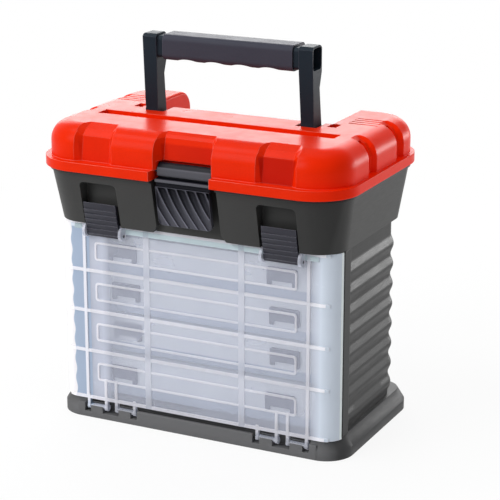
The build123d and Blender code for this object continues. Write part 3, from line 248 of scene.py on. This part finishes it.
# The latch's section as (y, z): over its plate, then round the plate's foot and up its back
LATCH_TOP_TURN = (
    (-75.4, 231.0), (-76.2, 235.2), (-76.8, 236.0), (-78.6, 236.0), (-80.0, 235.2), (-82.3, 232.7),
    (-82.9, 231.8), (-83.0, 230.6), (-83.0, 227.0), (-82.7, 225.9), (-81.6, 225.4), (-80.6, 224.9),
    (-80.9, 224.3), (-86.2, 223.9), (-87.0, 223.4), (-87.0, 222.0), (-86.6, 221.5), (-84.8, 221.0),
    (-84.5, 220.0), (-84.8, 218.2),
)
LATCH_FOOT_TURN = (
    (-80.6, 184.3), (-78.6, 184.7), (-77.4, 186.0), (-78.4, 187.8),
    (-82.6, 217.6), (-80.0, 222.4), (-76.6, 226.4),
)

# The plate's gills: head and foot of their crest line as (y, z), then sizes, all in millimetres
GILL_TOP = (-87.1, 217.5)
GILL_FOOT = (-82.1, 185.0)
GILL_START = 6.3
GILL_STEP = 8.7
GILL_SWEEP = 17.0
GILL_DEPTH = 3.0
GILL_BORDER = 1.0
GILL_BORDER_DEPTH = 0.5

# Shares of a gill: its curve, its loss of depth towards the foot, and where in a step its crest lies
GILL_CURVE = 0.35
GILL_DEPTH_LOSS = 0.5
GILL_CREST = 0.94

# A gill's flat valley: its share of a step at the head, how fast it narrows, and what is left at the foot
GILL_FLAT = 0.42
GILL_FLAT_POWER = 1.2
GILL_FLAT_LEAST = 0.04

# The gills' upper border as a share of the way down, and the number of faces down and across the plate
GILL_HEAD_BORDER = 0.04
GILL_ROWS = 56
GILL_COLUMNS = 242

# Painted shade darkens the gills' valleys and a painted highlight pales their crests, by how many
# millimetres they lie behind their crest line
VALLEY_DEPTHS = (0.4, 1.7)
VALLEY_SHARE = 0.94
VALLEY_FOOT_SHARE = 0.1
RIDGE_DEPTHS = (0.1, 0.36)
RIDGE_SHARE = 0.85

# A thick clear band under the door's top edge, millimetres
BAND_HALF = 112.0
BAND_Y = (-68.5, -67.6)
BAND_Z = (167.6, 172.4)
BAND_CHAMFER = 0.3
BAND_STEPS = 64

# CAD nodes that are shown with rounded edges, and the width of each rounding in millimetres
DRESSED = (("clip_left", 0.25), ("clip_right", 0.25), ("base", 0.5))
DRESSED_SEGMENTS = 2

# Edges over DRESSED_ANGLE are rounded; points within WELD are one and faces within FLAT_ANGLE are joined
DRESSED_ANGLE = 32.0
WELD = 0.004
FLAT_ANGLE = 0.4

# CAD nodes whose material isn't named after their slot
OWN_MATERIAL = {
    "door": "door_plastic",
    "handle_grip": "grip_plastic",
    "tub": "tub_plastic",
    "handle_post_left": "handle_plastic",
    "handle_post_right": "handle_plastic",
    "base": "base_plastic",
    "side_panel_left": "side_plastic",
    "side_panel_right": "side_plastic",
    "back_panel": "side_plastic",
}


class Tree:
    """A short way to build a material's nodes."""

    def __init__(self, name):
        self.material = bpy.data.materials.new(name)
        self.material.use_nodes = True
        self.nodes = self.material.node_tree.nodes
        self.links = self.material.node_tree.links
        self.shader = self.nodes["Principled BSDF"]
        self.place = self.add("ShaderNodeTexCoord").outputs["Object"]

    def add(self, kind, **settings):
        node = self.nodes.new(kind)
        for key, value in settings.items():
            setattr(node, key, value)
        return node

    def put(self, socket, value):
        if isinstance(value, bpy.types.NodeSocket):
            self.links.new(value, socket)
        elif value is not None:
            socket.default_value = value

    def put_all(self, **values):
        for key, value in values.items():
            self.put(self.shader.inputs[key.replace("_", " ")], value)

    def spot(self):
        """The x, y and z of a place on the surface."""
        node = self.add("ShaderNodeSeparateXYZ")
        self.put(node.inputs[0], self.place)
        return node.outputs["X"], node.outputs["Y"], node.outputs["Z"]

    def stretch(self, scale):
        node = self.add("ShaderNodeMapping")
        self.put(node.inputs["Vector"], self.place)
        node.inputs["Scale"].default_value = scale
        return node.outputs["Vector"]

    def noise(self, kind, vector=None):
        node = self.add("ShaderNodeTexNoise")
        self.put(node.inputs["Vector"], vector or self.place)
        node.inputs["Scale"].default_value = kind[0]
        node.inputs["Detail"].default_value = kind[1]
        node.inputs["Roughness"].default_value = NOISE_ROUGHNESS
        return node.outputs["Fac"]

    def math(self, kind, a, b=None, clamp=False):
        node = self.add("ShaderNodeMath", operation=kind, use_clamp=clamp)
        self.put(node.inputs[0], a)
        self.put(node.inputs[1], b)
        return node.outputs[0]

    def plus(self, a, b):
        return self.math("ADD", a, b)

    def minus(self, a, b):
        return self.math("SUBTRACT", a, b)

    def times(self, a, b):
        return self.math("MULTIPLY", a, b)

    def larger(self, a, b):
        return self.math("MAXIMUM", a, b)

    def magnitude(self, a):
        return self.math("ABSOLUTE", a)

    def span(self, value, low, high, to_low, to_high):
        node = self.add("ShaderNodeMapRange")
        self.put(node.inputs["Value"], value)
        node.inputs["From Min"].default_value = low
        node.inputs["From Max"].default_value = high
        node.inputs["To Min"].default_value = to_low
        node.inputs["To Max"].default_value = to_high
        return node.outputs["Result"]

    def spread(self, noise, to_low, to_high):
        return self.span(noise, *NOISE_SPREAD, to_low, to_high)

    def fade(self, place, border, before, after):
        """One value before a border in millimetres and another past it."""
        return self.span(place, border[0] * MM, border[1] * MM, before, after)

    def mix(self, fac, a, b):
        node = self.add("ShaderNodeMix", data_type="RGBA")
        self.put(node.inputs[0], fac)
        self.put(node.inputs[6], (*a, 1) if isinstance(a, tuple) else a)
        self.put(node.inputs[7], (*b, 1) if isinstance(b, tuple) else b)
        return node.outputs[2]

    def rounded(self, radius):
        """The normal of a shape whose edges have a radius in millimetres."""
        node = self.add("ShaderNodeBevel", samples=EDGE_SAMPLES)
        node.inputs["Radius"].default_value = radius * MM
        return node.outputs["Normal"]

    def edge(self, radius):
        """1 on an edge of the shape and 0 on its faces."""
        flat = self.add("ShaderNodeNewGeometry").outputs["Normal"]
        dot = self.add("ShaderNodeVectorMath", operation="DOT_PRODUCT")
        self.put(dot.inputs[0], self.rounded(radius))
        self.put(dot.inputs[1], flat)
        return self.span(dot.outputs["Value"], *EDGE_LIKENESS, 0.0, 1.0)

    def bump(self, *layers, radius=None):
        """Layers are (height, distance in millimetres); the first lies on the rounded normal, if any."""
        normal = self.rounded(radius) if radius else None
        for height, distance in layers:
            node = self.add("ShaderNodeBump")
            node.inputs["Strength"].default_value = 1.0
            node.inputs["Distance"].default_value = distance * MM
            self.put(node.inputs["Height"], height)
            self.put(node.inputs["Normal"], normal)
            normal = node.outputs["Normal"]
        self.put(self.shader.inputs["Normal"], normal)


MATERIALS = {}


def shade(colour, by):
    return tuple(min(1.0, c * by) for c in colour)


def moulded(name, colour, wear_and_highlight, rough, grain, gloss=0.5, radius=0.7, wear_and_highlight_share=0.35, metallic=0.0, zones=None):
    """Moulded plastic: cloudy colour, fine spark-eroded grain, faint rubbing marks, and edges paled partly
    by wear and partly by a painted highlight.
    """
    t = Tree(name)
    cloud = t.noise(CLOUD)
    rub = t.noise(RUB, t.stretch(RUB_STRETCH))
    dark, pale = (shade(colour, by) for by in CLOUD_SHADES)
    body = t.mix(t.spread(cloud, 0, 1), dark, pale)
    body = t.mix(t.span(t.noise(SPECK), *SPECK_SPREAD, 0, SPECK_SHARE), body, shade(colour, SPECK_SHADE))
    # Edges take a paler colour: partly wear, partly a painted highlight
    body = t.mix(t.times(t.edge(radius), wear_and_highlight_share), body, wear_and_highlight)
    if zones:
        body = zones(t, body)
    uneven = t.plus(t.spread(rub, *RUB_ROUGH), t.spread(cloud, *CLOUD_ROUGH))
    t.put_all(Base_Color=body, Roughness=t.plus(uneven, rough), Specular_IOR_Level=gloss, Metallic=metallic)
    t.bump((t.noise(GRAIN), grain), (t.noise(SWELL), SWELL_HEIGHT), radius=radius)
    MATERIALS[name] = t.material


def clear(name, colour, rim, solid, glance_solid, rough, zones=None):
    """Clear moulded plastic: thin and hazy on its faces, denser on rims and at glancing angles."""
    t = Tree(name)
    flow = t.noise(FLOW, t.stretch(FLOW_STRETCH))
    haze = t.noise(HAZE)
    facing = t.add("ShaderNodeLayerWeight")
    facing.inputs["Blend"].default_value = GLANCE_BLEND
    glance = t.math("POWER", facing.outputs["Facing"], GLANCE_POWER)
    alpha = t.plus(t.spread(flow, solid - FLOW_ALPHA, solid + FLOW_ALPHA), t.times(glance, glance_solid))
    thick = t.edge(CLEAR_RIM)
    dark, pale = (shade(colour, by) for by in HAZE_SHADES)
    tint = t.mix(t.spread(haze, 0, 1), dark, pale)
    if zones:
        tint, alpha, thick = zones(t, tint, alpha, thick)
    alpha = t.math("ADD", alpha, t.times(thick, RIM_ALPHA), clamp=True)
    tint = t.mix(thick, tint, rim)
    uneven = t.spread(haze, rough + HAZE_ROUGH[0], rough + HAZE_ROUGH[1])
    t.put_all(Base_Color=tint, Alpha=alpha, Roughness=uneven, IOR=CLEAR_IOR)
    t.bump((t.noise(RIPPLE), RIPPLE_HEIGHT), (t.noise(FINE), FINE_HEIGHT), radius=CLEAR_ROUND)
    MATERIALS[name] = t.material


def lid_zones(t, body):
    """Painted shade deepens the red of the front wall's recesses, the right ones most, and painted light
    makes the right flank a purer red.
    """
    x, y, z = t.spot()
    across = t.magnitude(x)
    start, end = LID_SIDE_RECESS
    side = t.times(t.fade(across, start, 0, 1), t.fade(across, end, 1, 0))
    side = t.times(side, t.fade(y, LID_SIDE_DEPTH, 0, 1))
    middle = t.times(t.fade(across, LID_MIDDLE_RECESS, 1, 0), t.fade(y, LID_MIDDLE_DEPTH, 0, 1))
    front = t.math("LESS_THAN", y, LID_FRONT * MM)
    recess = t.times(t.larger(side, middle), t.times(front, t.fade(z, LID_RECESS_TOP, 1, 0)))
    # Painted light on the right flank, then painted shade in the recesses
    body = t.mix(t.fade(x, LID_RIGHT, 0, 1), body, LID_FLANK_PAINTED_LIGHT)
    return t.mix(t.times(recess, t.fade(x, LID_RECESS_SIDES, *LID_RECESS_SHARES)), body, LID_RECESS_PAINTED_SHADE)


def tub_zones(t, body):
    """Painted shade darkens the tub's front towards its right end, and a painted shadow lies in the joint
    under the lid's rim.
    """
    x, y, z = t.spot()
    # Painted shadow under the lid's rim
    body = t.mix(t.fade(z, TUB_JOINT, 0, TUB_RIM_SHADOW_SHARE), body, RIM_PAINTED_SHADOW)
    # Painted shade towards the front's right end
    front = t.fade(y, TUB_FRONT, 1, 0)
    return t.mix(t.times(front, t.fade(x, TUB_RIGHT, 0, TUB_RIGHT_SHARE)), body, TUB_FRONT_PAINTED_SHADE)


def base_zones(t, body):
    """The base's front lip is painted lighter and its right flank gets painted shade."""
    x, y, _ = t.spot()
    body = t.mix(t.fade(x, BASE_RIGHT, 0, BASE_RIGHT_SHARE), body, BASE_FLANK_PAINTED_SHADE)
    return t.mix(t.fade(y, BASE_LIP, BASE_LIP_SHARE, 0), body, BASE_LIP_PAINTED_LIGHT)


def latch_zones(t, body):
    """Bands of painted light and shade across the latch; below them the gills have valleys darkened by
    painted shade and crests paled by a painted highlight.
    """
    _, y, z = t.spot()
    # Painted light and shade in bands across the latch
    for _, low, high, colour in LATCH_LIGHT_AND_SHADE_BANDS:
        above = t.fade(z, (low - LATCH_BAND_SOFT, low + LATCH_BAND_SOFT), 0, 1)
        under = t.fade(z, (high - LATCH_BAND_SOFT, high + LATCH_BAND_SOFT), 1, 0)
        body = t.mix(t.times(above, under), body, colour)
    plate = (GILL_FOOT[1], GILL_TOP[1])
    below = t.minus(y, t.fade(z, plate, GILL_FOOT[0] * MM, GILL_TOP[0] * MM))
    on_plate = t.math("LESS_THAN", z, GILL_TOP[1] * MM)
    strength = t.times(on_plate, t.fade(z, plate, VALLEY_FOOT_SHARE, 1))
    # Painted shade in the valleys, and a painted highlight on the crests
    valley = t.times(t.fade(below, VALLEY_DEPTHS, 0, VALLEY_SHARE), strength)
    ridge = t.times(t.fade(below, RIDGE_DEPTHS, RIDGE_SHARE, 0), on_plate)
    return t.mix(ridge, t.mix(valley, body, LATCH_VALLEY_SHADE), LATCH_WEAR_AND_HIGHLIGHT)


def door_strip(t, x, z):
    """How far a place lies in the blue strip of the door's left corner, and in the pale edge outside it."""
    turn = t.times(t.minus(z, STRIP_CREST_Z * MM), 2 * math.pi / (WAVE_PITCH * MM))
    wave = t.times(t.math("COSINE", turn), STRIP_WAVE * MM)
    lean = t.times(t.minus(z, STRIP_LEAN_Z * MM), STRIP_LEAN)
    border = t.minus(t.minus(STRIP_OUTER * MM, wave), lean)
    inward = t.minus(x, border)
    left = t.fade(x, STRIP_INNER, 1, 0)
    strip = t.times(t.times(left, t.fade(inward, STRIP_SOFT, 0, 1)), t.fade(z, STRIP_TOP, 1, 0))
    return strip, t.times(left, t.fade(inward, STRIP_SOFT, 1, 0))


def door_zones(t, tint, alpha, thick):
    """The door's bent corners are bluer and denser than its front; ribs stand out, the middle ones least."""
    x, y, z = t.spot()
    across = t.magnitude(x)
    bend = t.fade(across, DOOR_BEND, 0, 1)
    tint = t.mix(bend, tint, DOOR_CORNER)
    alpha = t.plus(alpha, t.fade(x, DOOR_LEFT, DOOR_LEFT_ALPHA, 0))
    alpha = t.plus(alpha, t.times(bend, t.fade(x, DOOR_CENTRE, *DOOR_BEND_ALPHAS)))
    strip, edge = door_strip(t, x, z)
    tint = t.mix(strip, t.mix(edge, tint, DOOR_EDGE), DOOR_STRIP)
    alpha = t.larger(alpha, t.times(strip, STRIP_LEAST_ALPHA))
    # The door's right rear edge gathers light
    end = t.times(t.math("GREATER_THAN", x, DOOR_RIGHT * MM), t.fade(y, DOOR_REAR, 0, 1))
    tint = t.mix(end, tint, DOOR_END)
    alpha = t.larger(alpha, t.times(end, DOOR_END_LEAST_ALPHA))
    # Lugs at the foot and ears at the head are clearer than the ribs
    proud = t.math("LESS_THAN", y, DOOR_FACE * MM)
    beside_middle = t.magnitude(t.minus(across, MID_RIB * MM))
    strength = t.times(proud, t.fade(beside_middle, MID_RIB_HALF, *RIB_SHARES))
    lugs = t.fade(z, DOOR_LUGS, DOOR_LUG_SHARE, 1)
    ears = t.fade(y, DOOR_EARS, DOOR_EAR_SHARE, 1)
    strength = t.times(strength, t.times(lugs, ears))
    return tint, alpha, t.larger(strength, thick)


def case_zones(t, tint, alpha, thick):
    """The foot of each case is clearer and bluer than the rest of it."""
    _, _, z = t.spot()
    level = t.math("DIVIDE", t.minus(z, CASE_FOOT_Z * MM), CASE_PITCH * MM)
    within = t.math("FRACT", level)
    foot = t.span(within, *CASE_FOOT_HEIGHTS, 1, 0)
    head = t.span(within, *CASE_HEAD_HEIGHTS, 0, CASE_HEAD_ALPHA)
    tint = t.mix(t.times(foot, CASE_FOOT_TINT), tint, CASE_FOOT)
    alpha = t.plus(t.minus(alpha, t.times(foot, CASE_FOOT_ALPHA_LOSS)), head)
    return tint, alpha, t.times(thick, CASE_RIM_SHARE)


def build_materials():
    moulded("lid_plastic", LID_RED, LID_WEAR_AND_HIGHLIGHT, 0.32, 0.01, gloss=0.06, wear_and_highlight_share=0.6, zones=lid_zones)
    moulded("body_plastic", BODY_GREY, BODY_WEAR_AND_HIGHLIGHT, 0.44, 0.03, gloss=0.16)
    moulded("side_plastic", SIDE_GREY, SIDE_WEAR_AND_HIGHLIGHT, 0.36, 0.02, gloss=0.14)
    moulded("base_plastic", BASE_GREY, BASE_WEAR_AND_HIGHLIGHT, 0.44, 0.03, gloss=0.1, zones=base_zones)
    moulded("hardware_plastic", HARDWARE, HARDWARE_WEAR_AND_HIGHLIGHT, 0.36, 0.02, gloss=0.26, radius=0.5, wear_and_highlight_share=0.8)
    moulded(
        "latch_plastic", LATCH, LATCH_WEAR_AND_HIGHLIGHT, 0.36, 0.02, gloss=0.08, radius=0.4, wear_and_highlight_share=0.25, zones=latch_zones
    )
    moulded("tub_plastic", BODY_GREY, BODY_WEAR_AND_HIGHLIGHT, 0.44, 0.03, gloss=0.16, zones=tub_zones)
    moulded("grip_plastic", GRIP, GRIP_WEAR_AND_HIGHLIGHT, 0.42, 0.02, gloss=0.06, wear_and_highlight_share=0.5)
    moulded("handle_plastic", HANDLE, HANDLE_WEAR_AND_HIGHLIGHT, 0.42, 0.02, gloss=0.06, wear_and_highlight_share=0.5)
    moulded("catch_plastic", CATCH, CATCH_WEAR_AND_HIGHLIGHT, 0.45, 0.015, gloss=0.3)
    clear("clear_plastic", CASE_TINT, CASE_RIM, 0.76, 0.2, 0.3, zones=case_zones)
    clear("door_plastic", DOOR_TINT, DOOR_RIB, 0.25, 0.5, 0.22, zones=door_zones)
    clear("band_plastic", BAND_TINT, DOOR_RIB, 0.5, 0.2, 0.22)
    moulded("pin_steel", STEEL, STEEL_WEAR_AND_HIGHLIGHT, 0.3, 0.01, metallic=1.0)


def node_material(node):
    return MATERIALS[OWN_MATERIAL.get(node, NODE_SLOT[node])]


def new_piece(name, mesh, material):
    mesh.materials.clear()
    mesh.materials.append(material)
    piece = bpy.data.objects.new(name, mesh)
    bpy.context.scene.collection.objects.link(piece)
    return piece


def dress(node, width):
    """The CAD node's shape with rounded edges, shown in place of the node."""
    mesh = NODES[node].data.copy()
    mesh.name = node + "_shell"
    bm = bmesh.new()
    bm.from_mesh(mesh)
    bmesh.ops.remove_doubles(bm, verts=bm.verts, dist=WELD * MM)
    bmesh.ops.dissolve_limit(bm, angle_limit=math.radians(FLAT_ANGLE), verts=bm.verts, edges=bm.edges)
    for face in bm.faces:
        face.smooth = True
    bm.to_mesh(mesh)
    bm.free()
    piece = new_piece(node + "_shell", mesh, node_material(node))
    rounding = piece.modifiers.new("rounding", "BEVEL")
    rounding.width = width * MM
    rounding.segments = DRESSED_SEGMENTS
    rounding.limit_method = "ANGLE"
    rounding.angle_limit = math.radians(DRESSED_ANGLE)
    rounding.use_clamp_overlap = True
    rounding.harden_normals = True
    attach(piece, NODE_BODY[node])
    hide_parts(node)


def swept_mesh(name, loops):
    """A closed mesh through a row of loops, each with as many points, in millimetres."""
    bm = bmesh.new()
    rings = [[bm.verts.new((x * MM, y * MM, z * MM)) for x, y, z in loop] for loop in loops]
    for near, far in zip(rings, rings[1:]):
        for k in range(len(near)):
            after = (k + 1) % len(near)
            bm.faces.new((near[k], near[after], far[after], far[k]))
    bm.faces.new(rings[0][::-1])
    bm.faces.new(rings[-1])
    bmesh.ops.recalc_face_normals(bm, faces=bm.faces)
    mesh = bpy.data.meshes.new(name)
    bm.to_mesh(mesh)
    bm.free()
    return mesh


def gill_height(x, down):
    """How far the plate lies behind its crest line at x (mm) and share down of the way to its foot."""
    sweep = GILL_SWEEP * ((1 - GILL_CURVE) * down + GILL_CURVE * down * down)
    phase = ((x + LATCH_HALF + GILL_START - sweep) / GILL_STEP) % 1.0
    depth = GILL_DEPTH * (1.0 - GILL_DEPTH_LOSS * down)
    flat = GILL_FLAT * (1.0 - down) ** GILL_FLAT_POWER + GILL_FLAT_LEAST
    if phase < flat:
        fall = 1.0
    elif phase < GILL_CREST:
        fall = (GILL_CREST - phase) / (GILL_CREST - flat)
    else:
        fall = (phase - GILL_CREST) / (1.0 - GILL_CREST)
    inside = max(0.0, min(1.0, down / GILL_HEAD_BORDER, (LATCH_HALF - abs(x)) / GILL_BORDER))
    return depth * fall * inside + GILL_BORDER_DEPTH * (1.0 - inside)


def latch_loop(x):
    """The latch's section at x (mm); near its ends the foot rises round the plate's corners."""
    section = list(LATCH_TOP_TURN)
    for j in range(GILL_ROWS + 1):
        down = j / GILL_ROWS
        y = GILL_TOP[0] + (GILL_FOOT[0] - GILL_TOP[0]) * down + gill_height(x, down)
        section.append((y, GILL_TOP[1] + (GILL_FOOT[1] - GILL_TOP[1]) * down))
    section += LATCH_FOOT_TURN
    into_corner = max(0.0, abs(x) - LATCH_HALF + LATCH_CORNER)
    lift = LATCH_CORNER - math.sqrt(max(0.0, LATCH_CORNER ** 2 - into_corner ** 2))
    squeeze = 1 - lift / (LATCH_CORNER_Z - GILL_FOOT[1])
    loop = []
    for y, z in section:
        if z < LATCH_CORNER_Z:
            z = LATCH_CORNER_Z - (LATCH_CORNER_Z - z) * squeeze
        loop.append((x, y, z))
    return loop


def build_latch():
    """The front latch: one section swept across it, with curved gills on its plate."""
    places = [LATCH_HALF * (2 * i / GILL_COLUMNS - 1) for i in range(GILL_COLUMNS + 1)]
    mesh = swept_mesh("latch_shell", [latch_loop(x) for x in places])
    piece = new_piece("latch_shell", mesh, MATERIALS["latch_plastic"])
    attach(piece, "latch")
    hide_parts("latch")


def build_door_band():
    """The thick clear band under the door's top edge."""
    front, rear = BAND_Y
    low, high = BAND_Z
    profile = (
        (rear, low),
        (front + BAND_CHAMFER, low),
        (front, low + BAND_CHAMFER),
        (front, high - BAND_CHAMFER),
        (front + BAND_CHAMFER, high),
        (rear, high),
    )
    places = [BAND_HALF * (2 * i / BAND_STEPS - 1) for i in range(BAND_STEPS + 1)]
    mesh = swept_mesh("door_top_band", [[(x, y, z) for y, z in profile] for x in places])
    piece = new_piece("door_top_band", mesh, MATERIALS["band_plastic"])
    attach(piece, "door")


def white_rays(nodes, links):
    """1 for the rays that see the white surroundings: camera, glossy and transmission."""
    path = nodes.new("ShaderNodeLightPath")
    seen_by = path.outputs["Is Camera Ray"]
    for ray in ("Is Glossy Ray", "Is Transmission Ray"):
        either = nodes.new("ShaderNodeMath")
        either.operation = "MAXIMUM"
        links.new(seen_by, either.inputs[0])
        links.new(path.outputs[ray], either.inputs[1])
        seen_by = either.outputs[0]
    return seen_by


def build_floor():
    """Rays that see the surroundings see it glow white, with a share of its paint near the box."""
    t = Tree("floor_paint")
    t.put_all(Base_Color=FLOOR_PAINT, Roughness=FLOOR_ROUGH)
    glow = t.add("ShaderNodeEmission")
    glow.inputs["Color"].default_value = WHITE
    blend = t.add("ShaderNodeMixShader")
    distance = t.add("ShaderNodeVectorMath", operation="LENGTH")
    t.put(distance.inputs[0], t.place)
    glow_share = t.span(distance.outputs["Value"], *FLOOR_FADE, FLOOR_GLOW, 1.0)
    t.put(blend.inputs[0], t.times(white_rays(t.nodes, t.links), glow_share))
    t.links.new(t.shader.outputs[0], blend.inputs[1])
    t.links.new(glow.outputs[0], blend.inputs[2])
    t.links.new(blend.outputs[0], t.nodes["Material Output"].inputs["Surface"])
    t.bump((t.noise(FLOOR_GRAIN), FLOOR_GRAIN_HEIGHT))
    bpy.ops.mesh.primitive_plane_add(size=FLOOR_SIZE, location=(0, 0, FLOOR_Z))
    floor = bpy.context.object
    floor.name = "floor"
    floor.data.materials.append(t.material)


def lamp(name, place, target, size, power):
    data = bpy.data.lights.new(name, "AREA")
    data.shape = "RECTANGLE"
    data.size, data.size_y = size
    data.energy = power
    obj = bpy.data.objects.new(name, data)
    obj.location = place
    obj.rotation_mode = "QUATERNION"
    obj.rotation_quaternion = (Vector(target) - Vector(place)).to_track_quat("-Z", "Y")
    bpy.context.scene.collection.objects.link(obj)


def build_world():
    """White where it is seen, and a dim fill light on the object."""
    world = bpy.data.worlds.new("studio")
    bpy.context.scene.world = world
    world.use_nodes = True
    nodes = world.node_tree.nodes
    links = world.node_tree.links
    white = nodes["Background"]
    white.inputs["Color"].default_value = WHITE
    white.inputs["Strength"].default_value = 1.0
    dim = nodes.new("ShaderNodeBackground")
    dim.inputs["Color"].default_value = WORLD_TINT
    dim.inputs["Strength"].default_value = WORLD_FILL
    choose = nodes.new("ShaderNodeMixShader")
    links.new(white_rays(nodes, links), choose.inputs[0])
    links.new(dim.outputs[0], choose.inputs[1])
    links.new(white.outputs[0], choose.inputs[2])
    links.new(choose.outputs[0], nodes["World Output"].inputs["Surface"])


def build_camera():
    camera = bpy.data.cameras.new("camera")
    camera.lens = CAMERA_LENS
    camera.sensor_width = CAMERA_SENSOR
    camera.clip_start, camera.clip_end = CAMERA_CLIP
    obj = bpy.data.objects.new("camera", camera)
    obj.location = CAMERA_PLACE
    obj.rotation_euler = (math.radians(90 - CAMERA_PITCH), 0, math.radians(CAMERA_YAW))
    bpy.context.scene.collection.objects.link(obj)
    bpy.context.scene.camera = obj


build_materials()
for node, obj in NODES.items():
    obj.data.materials.clear()
    obj.data.materials.append(node_material(node))
build_latch()
for node, width in DRESSED:
    dress(node, width)
build_door_band()
build_floor()
for name, place, target, size, power in LAMPS:
    lamp(name, place, target, size, power)
build_world()
build_camera()
bpy.context.scene.view_settings.view_transform = "Standard"
